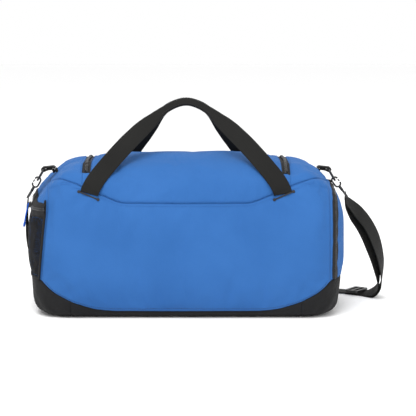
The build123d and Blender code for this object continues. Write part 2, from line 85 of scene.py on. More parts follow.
def make_mesh(name, verts, faces, materials, smooth=True, uvs=None):
    """A mesh object from points in millimetres."""
    mesh = bpy.data.meshes.new(name)
    mesh.from_pydata([tuple(c * MM for c in v) for v in verts], [], [tuple(f) for f in faces])
    for material in materials:
        mesh.materials.append(material)
    if smooth:
        mesh.polygons.foreach_set("use_smooth", [True] * len(mesh.polygons))
    if uvs is not None:
        layer = mesh.uv_layers.new(name="UVMap")
        flat = [c for loop in mesh.loops for c in uvs[loop.vertex_index]]
        layer.data.foreach_set("uv", flat)
    mesh.update()
    return link(bpy.data.objects.new(name, mesh))


def area_light(name, location, aim, size, power):
    data = bpy.data.lights.new(name, "AREA")
    data.shape = "RECTANGLE"
    data.size, data.size_y = size
    data.energy = power
    lamp = link(bpy.data.objects.new(name, data))
    lamp.location = location
    lamp.rotation_euler = (Vector(aim) - Vector(location)).to_track_quat("-Z", "Y").to_euler()


area_light("key_light", (-0.5, -1.8, 2.6), (0, 0, 0.15), (1.6, 1.6), 80)
area_light("fill_light", (1.9, -1.6, 1.1), (0, 0, 0.12), (1.6, 1.4), 8)
area_light("top_light", (0.0, 0.3, 2.6), (0, 0, 0.1), (2.4, 2.0), 6)
area_light("back_light", (0.3, 2.2, 1.5), (0, 0, 0.2), (1.8, 1.0), 2)

world = bpy.data.worlds.new("studio")
scene.world = world
world.use_nodes = True
background = world.node_tree.nodes["Background"]
background.inputs["Color"].default_value = (1, 1, 1, 1)
background.inputs["Strength"].default_value = 1.0

# ---- materials


class Nodes:
    """A short way to write a material's node tree."""

    def __init__(self, name):
        self.material = bpy.data.materials.new(name)
        self.material.use_nodes = True
        self.tree = self.material.node_tree
        self.shader = self.tree.nodes["Principled BSDF"]

    def fill(self, socket, value):
        """Joins an output to a socket, or writes a plain value on it."""
        if isinstance(value, bpy.types.NodeSocket):
            self.tree.links.new(value, socket)
        else:
            socket.default_value = value

    def put(self, node, **inputs):
        for name, value in inputs.items():
            self.fill(node.inputs[name.replace("_", " ")], value)
        return node

    def add(self, kind, **inputs):
        return self.put(self.tree.nodes.new("ShaderNode" + kind), **inputs)

    def maths(self, operation, *values):
        node = self.add("Math")
        node.operation = operation
        for socket, value in zip(node.inputs, values):
            self.fill(socket, value)
        return node.outputs[0]

    def plus(self, first, second):
        return self.maths("ADD", first, second)

    def times(self, first, second):
        return self.maths("MULTIPLY", first, second)

    def wave(self, value, turn, kind="SINE"):
        return self.maths(kind, self.times(value, turn))

    def noise(self, vector, scale, detail=3.0):
        return self.add("TexNoise", Vector=vector, Scale=scale, Detail=detail).outputs["Fac"]

    def blend(self, factor, low, high):
        node = self.add("ValToRGB")
        for stop, position, colour in zip(node.color_ramp.elements, (0.3, 0.7), (low, high)):
            stop.position = position
            stop.color = (*colour, 1)
        self.fill(node.inputs[0], factor)
        return node.outputs[0]

    def bump(self, height, distance, strength, **below):
        return self.add("Bump", Height=height, Distance=distance, Strength=strength, **below).outputs[0]

    def map_range(self, value, low, high):
        return self.add("MapRange", Value=value, To_Min=low, To_Max=high).outputs[0]


def woven(
    name, low, high, pitch, depth, rough,
    sheen=0.0, tint=(1, 1, 1), use_uv=False, ribs=False, gloss=0.25,
):
    """Cloth: over-and-under threads at the given pitch in metres, with slow changes of shade, and painted
    shade that darkens the gaps between threads.
    """
    n = Nodes(name)
    coords = n.add("TexCoord")
    where = coords.outputs["Object"]
    x, y, z = n.add("SeparateXYZ", Vector=coords.outputs["UV"] if use_uv else where).outputs
    turn = 2 * math.pi / pitch
    across, along = (x, y) if use_uv else (n.plus(x, y), n.plus(z, n.times(y, 0.9)))
    if ribs:
        # webbing: chevrons, each 4 mm wide
        slant = n.plus(along, n.times(n.maths("PINGPONG", across, 0.002), 0.8))
        height = n.plus(n.wave(slant, turn), n.times(n.wave(across, turn), 0.4))
    else:
        height = n.times(n.wave(across, turn), n.wave(along, turn))
    fine = n.noise(where, 900.0, 2.0)
    mixed = n.plus(n.times(n.noise(where, 9.0), 0.62), n.times(fine, 0.22))
    # the weave's height darkens the colour between the threads: painted shade in the thread gaps, added to
    # the noise's random tone
    shade = n.plus(n.plus(mixed, n.times(height, 0.10)), 0.06)
    crumple = n.bump(n.noise(where, 60.0, 4.0), 0.0016, 0.35)
    n.put(
        n.shader,
        Base_Color=n.blend(shade, low, high),
        Roughness=n.map_range(fine, rough - 0.07, rough + 0.07),
        Normal=n.bump(height, depth, 0.6, Normal=crumple),
        Sheen_Weight=sheen,
        Sheen_Tint=(*tint, 1),
        Sheen_Roughness=0.45,
        Specular_IOR_Level=gloss,
    )
    return n.material


def moulded(name, low, high, rough, grain=0.00012, metallic=0.0):
    """Moulded plastic or painted metal, with a fine grain and faint scuffs."""
    n = Nodes(name)
    where = n.add("TexCoord").outputs["Object"]
    slow = n.noise(where, 120.0)
    n.put(
        n.shader,
        Base_Color=n.blend(slow, low, high),
        Roughness=n.map_range(slow, rough - 0.08, rough + 0.12),
        Normal=n.bump(n.noise(where, 1800.0, 2.0), grain, 0.5),
        Metallic=metallic,
    )
    return n.material


NET_PITCH = 0.0026
NET_THREAD = 1.02


def net(name):
    """Knitted mesh with staggered holes of about 1.2 by 1.5 mm, seen through to what lies behind it."""
    n = Nodes(name)
    coords = n.add("TexCoord")
    x, y, _ = n.add("SeparateXYZ", Vector=coords.outputs["UV"]).outputs
    turn = 2 * math.pi / NET_PITCH
    web = n.plus(n.wave(x, turn, "COSINE"), n.wave(y, turn * 0.8, "COSINE"))
    fine = n.noise(coords.outputs["Object"], 700.0)
    n.put(
        n.shader,
        Alpha=n.maths("LESS_THAN", n.maths("ABSOLUTE", web), NET_THREAD),
        Base_Color=n.blend(fine, (0.007, 0.007, 0.008), (0.015, 0.015, 0.017)),
        Roughness=n.map_range(fine, 0.55, 0.75),
        Normal=n.bump(web, 0.0004, 0.6),
        Specular_IOR_Level=0.08,
    )
    n.material.surface_render_method = "DITHERED"
    return n.material


BLUE = woven(
    "blue_cloth", (0.0185, 0.089, 0.272), (0.028, 0.116, 0.334), 0.0011, 0.00011, 0.74,
    sheen=0.06, tint=(0.4, 0.65, 1), gloss=0.14,
)
BLACK = woven(
    "black_cloth", (0.007, 0.007, 0.0073), (0.014, 0.014, 0.0148), 0.0012, 0.00014, 0.72,
    sheen=0.02, gloss=0.12,
)
LINING = woven("grey_lining", (0.070, 0.070, 0.075), (0.115, 0.115, 0.122), 0.0009, 0.00006, 0.6)
TAPE = woven("tape_cloth", (0.011, 0.011, 0.012), (0.024, 0.024, 0.025), 0.0008, 0.00010, 0.7, gloss=0.12)
WEB = woven(
    "webbing_cloth", (0.0058, 0.0057, 0.0054), (0.0125, 0.0123, 0.0115), 0.0015, 0.00022, 0.68,
    sheen=0.02, use_uv=True, ribs=True, gloss=0.12,
)
CORD = woven(
    "blue_cord_braid", (0.004, 0.055, 0.330), (0.010, 0.095, 0.500), 0.0012, 0.00025, 0.55, use_uv=True,
)
THREAD = woven("black_thread", (0.010, 0.010, 0.011), (0.026, 0.026, 0.028), 0.0007, 0.0001, 0.6)
BLUE_THREAD = woven("blue_thread", (0.014, 0.078, 0.270), (0.022, 0.105, 0.340), 0.0007, 0.0001, 0.6)
NYLON = moulded("coil_nylon", (0.010, 0.010, 0.011), (0.022, 0.022, 0.024), 0.38)
PLASTIC = moulded("black_acetal", (0.008, 0.008, 0.0085), (0.018, 0.018, 0.019), 0.40)
SLIDER = moulded("slider_paint", (0.014, 0.014, 0.015), (0.030, 0.030, 0.032), 0.33, 0.00005, 0.6)
BOARD = moulded("board_sheet", (0.040, 0.040, 0.044), (0.060, 0.060, 0.065), 0.6)
NET = net("pocket_mesh")
FLOOR = moulded("floor_paint", (0.965, 0.965, 0.965), (0.985, 0.985, 0.985), 0.8, 0.00002)

FLOOR_REACH = 9000
floor_corners = [(x * FLOOR_REACH, y * FLOOR_REACH, 0) for x, y in ((-1, -1), (1, -1), (1, 1), (-1, 1))]
floor = make_mesh("floor", floor_corners, [(0, 1, 2, 3)], [FLOOR])

# CAD pieces that stay in view take a finer material
FINISH = {"base_board": BOARD, "black_hardware": PLASTIC, "zipper_slider": SLIDER}
for row in frame["record"]["subparts"]:
    if row["material_slot"] in FINISH:
        node = frame["nodes"][row["node"]]
        node.data.materials.clear()
        node.data.materials.append(FINISH[row["material_slot"]])
        bevel = node.modifiers.new("edge", "BEVEL")
        bevel.width = 0.0004
        bevel.segments = 2
        bevel.limit_method = "ANGLE"

# ---- swept pieces


def distances(points):
    """The distance along a line to each of its points."""
    return np.concatenate([[0], np.cumsum(np.linalg.norm(np.diff(points, axis=0), axis=1))])


def directions(points):
    """The unit tangent of a line at each of its points."""
    tangents = np.gradient(points, axis=0)
    return tangents / np.linalg.norm(tangents, axis=1)[:, None]


def frames_along(points, faces):
    """Face directions square to a line, and its width directions."""
    tangents = directions(points)
    faces = faces - (faces * tangents).sum(1)[:, None] * tangents
    faces /= np.linalg.norm(faces, axis=1)[:, None]
    return faces, np.cross(tangents, faces)


def tube_faces(base, rings, count, open_start=False):
    """The faces of a tube whose rings of points are numbered from base."""
    faces = []
    for start in range(base, base + (rings - 1) * count, count):
        for k in range(count):
            a, b = start + k, start + (k + 1) % count
            faces.append((a, b, b + count, a + count))
    if not open_start:
        faces.append(tuple(reversed(range(base, base + count))))
    last = base + (rings - 1) * count
    return faces + [tuple(range(last, last + count))]


def sweep(name, points, faces, widths, thicks, material, power=4.0, count=16):
    """A webbing-like bar swept along points, its section a rounded flat shape."""
    normal, across = frames_along(points, faces)
    total = len(points)
    lengths = distances(points)
    widths, thicks = (np.broadcast_to(np.asarray(size, float), (total,)) for size in (widths, thicks))
    angles = np.linspace(0, 2 * np.pi, count, endpoint=False)
    side, rise = (np.sign(wave) * np.abs(wave) ** (2 / power) for wave in (np.cos(angles), np.sin(angles)))
    verts, uvs = [], []
    for i in range(total):
        wide, high = across[i] * (side * widths[i] / 2)[:, None], normal[i] * (rise * thicks[i] / 2)[:, None]
        ring = points[i] + wide + high
        ring[:, 2] = np.maximum(ring[:, 2], FLOOR_GAP)
        verts.extend(ring.tolist())
        uvs.extend([(s * widths[i] / 2 * MM, lengths[i] * MM) for s in side])
    obj = make_mesh(name, verts, tube_faces(0, total, count), [material], uvs=uvs)
    fix = bmesh.new()
    fix.from_mesh(obj.data)
    bmesh.ops.recalc_face_normals(fix, faces=fix.faces)
    fix.to_mesh(obj.data)
    fix.free()
    return obj


SPLINE_STEPS = 8


def spline_points(name, points):
    """Points read from a smooth NURBS line that has the given control points, in metres."""
    curve = bpy.data.curves.new(name, "CURVE")
    curve.dimensions = "3D"
    curve.resolution_u = SPLINE_STEPS
    spline = curve.splines.new("NURBS")
    spline.points.add(len(points) - 1)
    for point, place in zip(spline.points, points):
        point.co = (*place, 1)
    spline.order_u = 3
    spline.use_endpoint_u = True
    holder = link(bpy.data.objects.new(name, curve))
    mesh = bpy.data.meshes.new_from_object(holder)
    line = np.array([v.co[:] for v in mesh.vertices])
    bpy.data.meshes.remove(mesh)
    bpy.data.objects.remove(holder)
    bpy.data.curves.remove(curve)
    return line


# ---- shoulder strap

WEB_WIDTH = 32.0
WEB_THICK = 1.9
RETURN_GAP = 2.4
RETURN_SAG = 11.0
# where the webbing meets the lower bars of the hooks' eyes, in millimetres
RIGHT_EYE = (269.9, 0.4, 191.5)
LEFT_EYE = (-267.5, 0.5, 190.0)
STRAP_DOUBLED = [
    (0.272, 0.003, 0.183),
    (0.294, 0.008, 0.163),
    (0.317, 0.017, 0.133),
    (0.334, 0.030, 0.092),
    (0.343, 0.047, 0.048),
    (0.340, 0.074, 0.015),
    (0.318, 0.101, 0.007),
]
STRAP_SINGLE = [
    (0.290, 0.121, 0.007),
    (0.250, 0.137, 0.007),
    (0.200, 0.147, 0.007),
    (0.140, 0.149, 0.007),
    (0.080, 0.143, 0.007),
    (0.020, 0.142, 0.007),
    (-0.040, 0.148, 0.007),
    (-0.100, 0.151, 0.007),
    (-0.150, 0.147, 0.007),
    (-0.197, 0.143, 0.015),
    (-0.233, 0.131, 0.038),
    (-0.262, 0.110, 0.066),
    (-0.275, 0.078, 0.095),
    (-0.2755, 0.045, 0.124),
    (-0.273, 0.019, 0.153),
    (-0.2695, 0.003, 0.181),
]


def face_directions(line, keys):
    """Face directions along a line, from (share of the length, direction) pairs."""
    steps = distances(line)
    share = steps / steps[-1]
    at = [k[0] for k in keys]
    columns = [np.interp(share, at, [k[1][axis] for k in keys]) for axis in range(3)]
    return np.stack(columns, axis=1)


whole = spline_points("strap_route", STRAP_DOUBLED + STRAP_SINGLE)
whole_faces = face_directions(
    whole,
    [
        (0.00, (0.75, -0.30, 0.60)),
        (0.03, (0.66, -0.62, 0.50)),
        (0.09, (0.68, -0.62, 0.40)),
        (0.14, (0.86, -0.42, 0.20)),
        (0.18, (1.0, -0.12, -0.10)),
        (0.205, (0.80, 0.0, -0.55)),
        (0.235, (0.30, 0.05, -1.0)),
        (0.26, (0.0, 0.0, -1.0)),
        (0.72, (0.0, 0.0, -1.0)),
        (0.78, (-0.4, 0.4, -0.8)),
        (0.83, (-0.9, 0.5, -0.3)),
        (0.88, (-1.0, 0.1, 0.0)),
        (1.00, (-1.0, 0.0, 0.0)),
    ],
)


def settled(line):
    """The line in millimetres, let down where it lies on the floor."""
    line = line / MM
    line[:, 2] -= 5.2 * (1 - np.clip((line[:, 2] - 8) / 60, 0, 1)) ** 2
    return line


strap_line = np.vstack([RIGHT_EYE, settled(whole), LEFT_EYE])
strap_faces = np.vstack([whole_faces[:1], whole_faces, whole_faces[-1:]])
strap = sweep("strap_webbing", strap_line, strap_faces, WEB_WIDTH, WEB_THICK, WEB, power=8)
back = spline_points("return_route", STRAP_DOUBLED)
back_faces = face_directions(
    back,
    [
        (0.00, (0.75, -0.30, 0.60)),
        (0.14, (0.50, -0.88, 0.36)),
        (0.40, (0.52, -0.88, 0.24)),
        (0.62, (0.78, -0.55, 0.12)),
        (0.76, (1.0, -0.12, -0.10)),
        (0.87, (0.80, 0.0, -0.55)),
        (1.00, (0.30, 0.05, -1.0)),
    ],
)
back_normal, _ = frames_along(back, back_faces)
back_share = np.linspace(0, 1, len(back))[:, None]
swell = np.sin(np.pi * back_share) ** 0.6 * (1 - back_share**2)
inward = np.array([(-0.66, 0.25, -0.45)])
back_line = settled(back) - back_normal * RETURN_GAP + inward * RETURN_SAG * swell
under = sweep("strap_return_webbing", back_line, back_faces, WEB_WIDTH, WEB_THICK, WEB, power=8)
finish_piece(strap, "bag", "black_webbing", "shoulder_strap", "strap_doubled")
finish_piece(under, "bag", "black_webbing")

# ---- body form

HALF_LENGTH = 266.0
HALF_DEPTH = 116.5
CROWN = 262.0
SOLE_RADIUS = 23.0
SHOULDER_RADIUS = 34.0
CORNER_SHOULDER = 108.0
CORNER_BLEND = 52.0
REAR_BLEND = 60.0
CELL = 6.6


def circle_through(first, middle, last):
    """Centre and radius of the circle through three points."""
    (ax, ay), (bx, by), (cx, cy) = first, middle, last
    twice_area = 2 * (ax * (by - cy) + bx * (cy - ay) + cx * (ay - by))
    a, b, c = ax * ax + ay * ay, bx * bx + by * by, cx * cx + cy * cy
    x = (a * (by - cy) + b * (cy - ay) + c * (ay - by)) / twice_area
    y = (a * (cx - bx) + b * (ax - cx) + c * (bx - ax)) / twice_area
    return x, y, math.hypot(ax - x, ay - y)


END_WALL = circle_through((104, 0), (116, 98), (98, 233.7))
END_CROWN = circle_through((-75, 246), (0, CROWN), (75, 246))
FRONT_WALL = circle_through((257, 0), (265.5, 98), (259, 200))
FRONT_CROWN = circle_through((-158, 256), (0, 263), (158, 256))
END_INSET = 3.0
SLUMP = 4.5
END_BULGE_RADIUS = 500.0


def ease(value, low, high):
    t = np.clip((value - low) / (high - low), 0, 1)
    return t * t * (3 - 2 * t)


def fillet_centre(wall, crown, radius):
    """Centre of the circle that rounds the corner between a wall's arc and the crown's arc."""
    gap = math.hypot(crown[0] - wall[0], crown[1] - wall[1])
    r_wall, r_crown = wall[2] - radius, crown[2] - radius
    along = (gap * gap + r_wall * r_wall - r_crown * r_crown) / (2 * gap)
    off = math.sqrt(r_wall * r_wall - along * along)
    ux, uz = (crown[0] - wall[0]) / gap, (crown[1] - wall[1]) / gap
    spots = [(wall[0] + ux * along + k * uz * off, wall[1] + uz * along - k * ux * off) for k in (-1, 1)]
    return max(spots, key=lambda spot: spot[1])


def profile(h, z, wall, crown, radius):
    """Distance from an outline made of a wall arc, a crown arc and a rounded corner, and its slope."""
    fx, fz = fillet_centre(wall, crown, radius)
    to_wall = np.hypot(h - wall[0], z - wall[1])
    to_crown = np.hypot(h - crown[0], z - crown[1])
    to_corner = np.maximum(np.hypot(h - fx, z - fz), 1e-6)
    after_wall = (fx - wall[0]) * (z - fz) - (fz - wall[1]) * (h - fx) > 0
    before_crown = (h - fx) * (fz - crown[1]) - (z - fz) * (fx - crown[0]) > 0
    in_corner = after_wall & before_crown
    on_wall = to_wall - wall[2] > to_crown - crown[2]
    distance = np.where(in_corner, to_corner - radius, np.maximum(to_wall - wall[2], to_crown - crown[2]))
    slope = np.where(on_wall, (z - wall[1]) / to_wall, (z - crown[1]) / to_crown)
    return distance, np.where(in_corner, (z - fz) / to_corner, slope)


def form(p):
    """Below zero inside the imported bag, above zero outside it."""
    z = p[:, 2]
    front = 1 - ease(p[:, 1], -20, 60)
    x, y = np.abs(p[:, 0] - front * SLUMP * ease(z, 120, 215)), np.abs(p[:, 1])
    by_end, slope_end = profile(y, z, END_WALL, END_CROWN, SHOULDER_RADIUS)
    bowed = x + front * (END_INSET + y * y / (2 * END_BULGE_RADIUS))
    by_front, slope_front = profile(bowed, z, FRONT_WALL, FRONT_CROWN, CORNER_SHOULDER)
    # the two outlines blend where they cross, and not where they lie along each other
    soft = (REAR_BLEND + front * (CORNER_BLEND - REAR_BLEND)) * np.clip(1 - slope_end * slope_front, 0.04, 1)
    near = np.maximum(soft - np.abs(by_end - by_front), 0) / soft
    body = np.maximum(by_end, by_front) + near * near * soft / 4
    u = np.maximum(SOLE_RADIUS + body, 0)
    v = np.maximum(SOLE_RADIUS - z, 0)
    return np.minimum(-SOLE_RADIUS, np.maximum(body, -z)) + np.hypot(u, v)


def box_lattice():
    """A closed box of even quads, as lattice points and faces."""
    counts = [round(2 * HALF_LENGTH / CELL), round(2 * HALF_DEPTH / CELL), round(CROWN / CELL)]
    index, points, faces = {}, [], []

    def number(key):
        if key not in index:
            index[key] = len(points)
            points.append(key)
        return index[key]

    for axis in range(3):
        u_axis, v_axis = (axis + 1) % 3, (axis + 2) % 3
        for level in (0, counts[axis]):
            for i in range(counts[u_axis]):
                for j in range(counts[v_axis]):
                    corner = []
                    for di, dj in ((0, 0), (1, 0), (1, 1), (0, 1)):
                        key = [0, 0, 0]
                        key[axis], key[u_axis], key[v_axis] = level, i + di, j + dj
                        corner.append(number(tuple(key)))
                    faces.append(corner if level else corner[::-1])
    share = np.array(points, float) / np.array(counts, float)
    low = np.array([-HALF_LENGTH, -HALF_DEPTH, 0.0])
    high = np.array([HALF_LENGTH, HALF_DEPTH, CROWN])
    return low + share * (high - low), faces


lattice, quads = box_lattice()
core = np.clip(lattice, (-200, -55, 55), (200, 55, 195))
ray = lattice - core
ray /= np.linalg.norm(ray, axis=1)[:, None]
near, far = np.zeros(len(core)), np.full(len(core), 260.0)
for _ in range(26):
    middle = (near + far) / 2
    inside = form(core + ray * middle[:, None]) < 0
    near = np.where(inside, middle, near)
    far = np.where(inside, far, middle)
shell = core + ray * near[:, None]

# ---- seam lines

YOKE_X = [0, 98, 108, 118, 128, 142, 158, 176, 190, 204, 222, 240, 400]
YOKE_Z = [192.5, 193, 194.2, 197.5, 202, 207.5, 214.5, 222.5, 227.5, 231.5, 236, 240, 280]
BASE_X = [0, 118, 135, 152, 185, 215, 230, 240, 400]
BASE_Z = [12.0, 12.3, 13.8, 16.5, 27.5, 43.5, 55.0, 66.0, 66.0]
LEFT_Z = [0, 53, 133, 174, 205, 232, 260]
LEFT_X = [241, 240, 232, 228, 228, 235, 242]
RIGHT_Z = [0, 180, 208, 232, 260]
RIGHT_X = [238, 236.5, 236.5, 240, 246]
ZIP_X = 164.0
ZIP_Y = 81.0
ZIP_CORNER = 24.0
ZIP_HALF = 6.8
FOLD_Y = -88.0
BOOT_SPLIT = 190.0
TOP_FROM = 205.0


def eased(value, xs, zs, blur=5.0):
    """Straight runs between points, with their corners blurred."""
    offsets = np.linspace(-blur, blur, 7)
    return sum(np.interp(value + o, xs, zs) for o in offsets) / len(offsets)


def f_yoke(p):
    lift = 0.3 * np.maximum(88 - np.abs(p[:, 1]), 0)
    return p[:, 2] + lift - eased(np.abs(p[:, 0]), YOKE_X, YOKE_Z)


def f_base(p):
    return p[:, 2] - eased(np.abs(p[:, 0]), BASE_X, BASE_Z)


def f_left(p):
    return p[:, 0] + eased(p[:, 2], LEFT_Z, LEFT_X)


def f_right(p):
    return eased(p[:, 2], RIGHT_Z, RIGHT_X) - p[:, 0]


def f_zip(p):
    """Distance outwards from the main zipper's line, seen from above."""
    qx = np.abs(p[:, 0]) - (ZIP_X - ZIP_CORNER)
    qy = p[:, 1] - (ZIP_Y - ZIP_CORNER)
    return np.hypot(np.maximum(qx, 0), np.maximum(qy, 0)) + np.minimum(np.maximum(qx, qy), 0) - ZIP_CORNER


def f_fold(p):
    return p[:, 1] - FOLD_Y


def f_leg(p):
    return np.abs(p[:, 0]) - (ZIP_X + ZIP_HALF - 1.0)


def f_boot(p):
    return np.abs(p[:, 0]) - BOOT_SPLIT


def on_top(p):
    return (p[:, 2] > TOP_FROM) & (p[:, 1] > FOLD_Y - 0.5)


def below_leg(p):
    return (p[:, 1] < FOLD_Y + 0.5) & (f_yoke(p) > -0.5)


def in_base(p):
    return f_base(p) < 0.5


def above_base(p):
    return f_base(p) > -0.5


# ---- stuffing the cloth

CLOTH_FRAMES = 20
CLOTH_CAP = 5.0
SEAM_HOLD = 16.0
FAR_OFF = 99.0


def simulate(points, faces):
    """Cloth with light pressure from within, held along its seams and on its base."""
    obj = make_mesh("cloth_source", points, faces, [])
    held = obj.vertex_groups.new(name="held")
    nearest = np.minimum.reduce([
        np.abs(f_yoke(points)) + 60 * (f_left(points) < 0) + 60 * (f_right(points) < 0),
        np.abs(f_base(points)),
        np.abs(f_left(points)),
        np.abs(f_right(points)),
        np.where(points[:, 2] > TOP_FROM, np.abs(f_zip(points)), FAR_OFF),
    ])
    weight = np.clip(1 - nearest / SEAM_HOLD, 0, 1) ** 1.4
    weight = np.maximum(weight, np.where(points[:, 2] < 8, 1.0, 0.0))
    weight = np.maximum(weight, np.where(in_base(points), 0.45, 0.05))
    for i, w in enumerate(weight):
        held.add([i], float(w), "REPLACE")
    modifier = obj.modifiers.new("cloth", "CLOTH")
    cloth = modifier.settings
    cloth.quality = 5
    cloth.mass = 0.25
    cloth.tension_stiffness = 18
    cloth.compression_stiffness = 18
    cloth.shear_stiffness = 6
    cloth.bending_stiffness = 0.6
    cloth.shrink_min = -0.018
    cloth.use_pressure = True
    cloth.uniform_pressure_force = 4.0
    cloth.vertex_group_mass = "held"
    cloth.pin_stiffness = 1.0
    cloth.effector_weights.gravity = 0.0
    modifier.collision_settings.use_collision = False
    for step in range(1, CLOTH_FRAMES + 1):
        scene.frame_set(step)
    evaluated = obj.evaluated_get(bpy.context.evaluated_depsgraph_get())
    result = np.array([v.co[:] for v in evaluated.data.vertices]) / MM
    scene.frame_set(1)
    bpy.data.objects.remove(obj)
    return result


moved = simulate(shell, quads) - shell
reach = np.linalg.norm(moved, axis=1)[:, None]
moved *= CLOTH_CAP * np.tanh(reach / CLOTH_CAP) / np.maximum(reach, 1e-6)
shell = shell + moved
shell[:, 2] = np.maximum(shell[:, 2], FLOOR_GAP)


def applied(obj):
    """A new mesh: the object's own, with its modifiers applied."""
    return bpy.data.meshes.new_from_object(obj.evaluated_get(bpy.context.evaluated_depsgraph_get()))


smooth_source = make_mesh("skin_source", shell, quads, [])
divide = smooth_source.modifiers.new("divide", "SUBSURF")
divide.levels = divide.render_levels = 1
skin_mesh = applied(smooth_source)
bpy.data.objects.remove(smooth_source)
skin = np.array([v.co[:] for v in skin_mesh.vertices]) / MM
skin_normals = np.array([v.normal[:] for v in skin_mesh.vertices])

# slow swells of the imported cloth, and the creases that pull at its seams: from, to, depth and width
SWELLS = 14
for _ in range(SWELLS):
    wave = rng.normal(size=3)
    wave *= 2 * np.pi / rng.uniform(70, 190) / np.linalg.norm(wave)
    swell_height = rng.uniform(0.18, 0.42) * np.sin(skin @ wave + rng.uniform(0, 6.3))
    skin += skin_normals * (swell_height * ease(skin[:, 2], 4, 40))[:, None]

CREASES = [
    ((-158, -110, 212), (-196, -104, 176), 1.6, 7),
    ((-150, -112, 205), (-160, -114, 150), 1.0, 8),
    ((-196, -104, 228), (-228, -90, 236), 2.8, 4),
    ((-196, -106, 222), (-160, -110, 208), 1.2, 5),
    ((158, -110, 214), (198, -104, 182), 1.4, 8),
    ((150, -112, 206), (154, -114, 158), 0.8, 8),
    ((198, -104, 228), (226, -90, 238), 2.4, 4),
    ((-228, -96, 196), (-214, -106, 120), 1.2, 9),
    ((230, -96, 200), (218, -106, 120), 1.0, 9),
    ((-232, -88, 64), (-214, -106, 6), 1.8, 7),
    ((-250, -66, 60), (-236, -90, 6), 1.4, 7),
    ((234, -88, 64), (216, -106, 6), 1.8, 7),
    ((250, -66, 60), (238, -88, 6), 1.4, 7),
    ((-206, -108, 36), (-170, -114, 60), 1.0, 9),
    ((206, -108, 40), (172, -114, 66), 1.0, 9),
    ((-60, -108, 14), (20, -109, 17), 0.8, 7),
    ((-176, -80, 244), (-206, -50, 243), 1.2, 9),
    ((176, -80, 244), (208, -50, 243), 1.2, 9),
    ((-120, -60, 250), (-20, -40, 258), 1.1, 14),
    ((130, -50, 252), (40, -20, 260), 1.0, 14),
    ((-158, 110, 212), (-196, 104, 176), 1.6, 7),
    ((158, 110, 214), (198, 104, 182), 1.4, 8),
    ((-110, 113, 150), (-20, 115, 120), 1.2, 16),
    ((40, 115, 140), (140, 113, 160), 1.2, 16),
    ((228, 96, 200), (218, 106, 120), 1.2, 9),
    ((-232, 88, 64), (-214, 106, 6), 1.8, 7),
    ((234, 88, 64), (216, 106, 6), 1.8, 7),
    ((258, -30, 190), (264, -20, 120), 1.2, 10),
    ((-258, 30, 190), (-264, 24, 120), 1.2, 10),
]
for start, end, depth, width in CREASES:
    start, end = np.array(start, float), np.array(end, float)
    run = end - start
    share = np.clip((skin - start) @ run / (run @ run), 0, 1)
    gap = np.linalg.norm(skin - start - share[:, None] * run, axis=1)
    taper = np.sin(np.pi * np.clip(share * 0.9 + 0.05, 0, 1)) ** 0.6
    dent = depth * taper * (np.exp(-(gap / width) ** 2) - 0.45 * np.exp(-((gap - 1.8 * width) / width) ** 2))
    skin -= skin_normals * dent[:, None]
skin[:, 2] = np.maximum(skin[:, 2], FLOOR_GAP)
skin_faces = [tuple(p.vertices) for p in skin_mesh.polygons]
bpy.data.meshes.remove(skin_mesh)

# ---- cutting the cloth along its seams


def cut(bm, f, mask=None, snap=0.3):
    """Splits the mesh's faces along the line where f is zero, in the same order at each run."""
    bm.verts.ensure_lookup_table()
    where = np.array([v.co[:] for v in bm.verts])
    value = f(where)
    value[np.abs(value) < snap] = 0.0
    if mask is not None:
        value = np.where(mask(where), value, np.nan)
    olds = list(bm.verts)
    marked = {olds[i]: True for i in np.nonzero(value == 0.0)[0].tolist()}
    sign = np.sign(value).tolist()
    ends = [(e, e.verts[0].index, e.verts[1].index) for e in bm.edges]
    value = value.tolist()
    for e, a, b in [row for row in ends if sign[row[1]] * sign[row[2]] < 0]:
        _, v = bmesh.utils.edge_split(e, olds[a], value[a] / (value[a] - value[b]))
        marked[v] = True
    for face in {face: True for v in marked for face in v.link_faces}:
        ring = [v for v in face.verts if v in marked]
        if len(ring) != 2 or any(set(e.verts) == set(ring) for e in face.edges):
            continue
        bmesh.utils.face_split(face, ring[0], ring[1])
    bm.verts.index_update()
    bm.verts.ensure_lookup_table()


def shifted(f, amount):
    return lambda p: f(p) - amount


body = bmesh.new()
source = bpy.data.meshes.new("cutting")
source.from_pydata(skin.tolist(), [], skin_faces)
body.from_mesh(source)
body.verts.index_update()
bpy.data.meshes.remove(source)

GROOVES = [
    (f_base, None, (0, 1.1, 2.6, -1.1, -2.6)),
    (f_left, above_base, (0, 1.1, 2.6, -1.1, -2.6)),
    (f_right, above_base, (0, 1.1, 2.6, -1.1, -2.6)),
    (f_yoke, above_base, (0, 0.9, 2.2, 4.2, -0.9, -2.2, -4.2)),
    (f_zip, on_top, (0, -ZIP_HALF, ZIP_HALF, ZIP_HALF + 1.5, -ZIP_HALF - 1.5)),
    (f_fold, lambda p: (p[:, 2] > TOP_FROM) & (np.abs(f_zip(p)) < ZIP_HALF + 4), (0,)),
    (f_leg, below_leg, (0, 1.0, -1.0)),
    (f_boot, in_base, (0, 1.2, -1.2)),
]
for f, mask, levels in GROOVES:
    for level in levels:
        cut(body, shifted(f, level), mask)

places = np.array([v.co[:] for v in body.verts])
body.normal_update()
normals = np.array([v.normal[:] for v in body.verts])
tree = BVHTree.FromBMesh(body)
body.faces.ensure_lookup_table()


def groove(gap, depth, width):
    return depth * np.exp(-(gap / width) ** 2)


